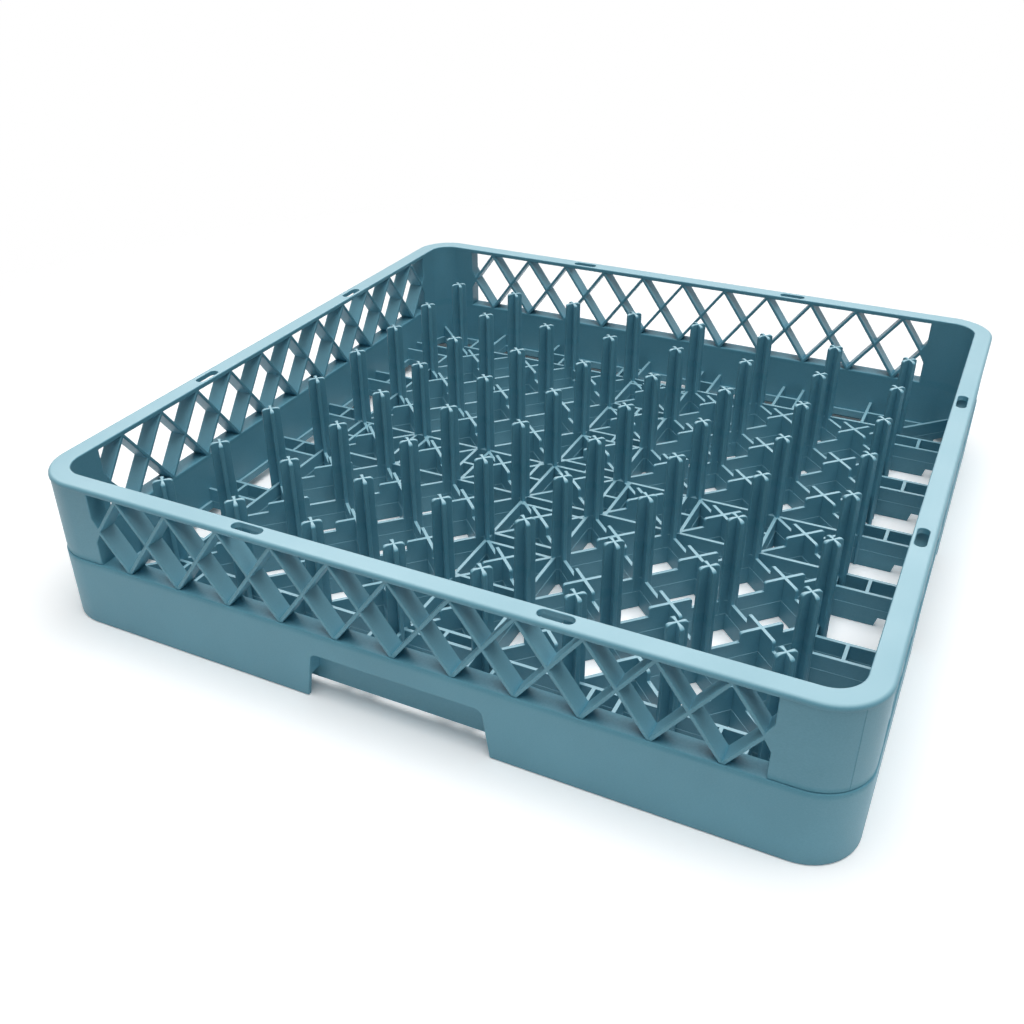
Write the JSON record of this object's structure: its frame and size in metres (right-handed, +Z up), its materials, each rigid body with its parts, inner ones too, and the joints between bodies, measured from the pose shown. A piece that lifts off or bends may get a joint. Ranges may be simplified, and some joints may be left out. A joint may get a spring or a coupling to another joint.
{
  "type": "dishwasher plate rack",
  "caption": "Square open plate rack for a commercial dishwasher: one blue-grey plastic moulding with a peg floor and lattice walls.",
  "frame": {"origin": "middle of the rack on the surface it stands on", "axes": "+Z up; the four walls face along X and Y"},
  "size_m": [0.5, 0.5, 0.101],
  "materials": {
    "plastic": "satin, fine moulded grain"
  },
  "bodies": {
    "root": {"plate_rack": "plastic"}
  },
  "joints": []
}
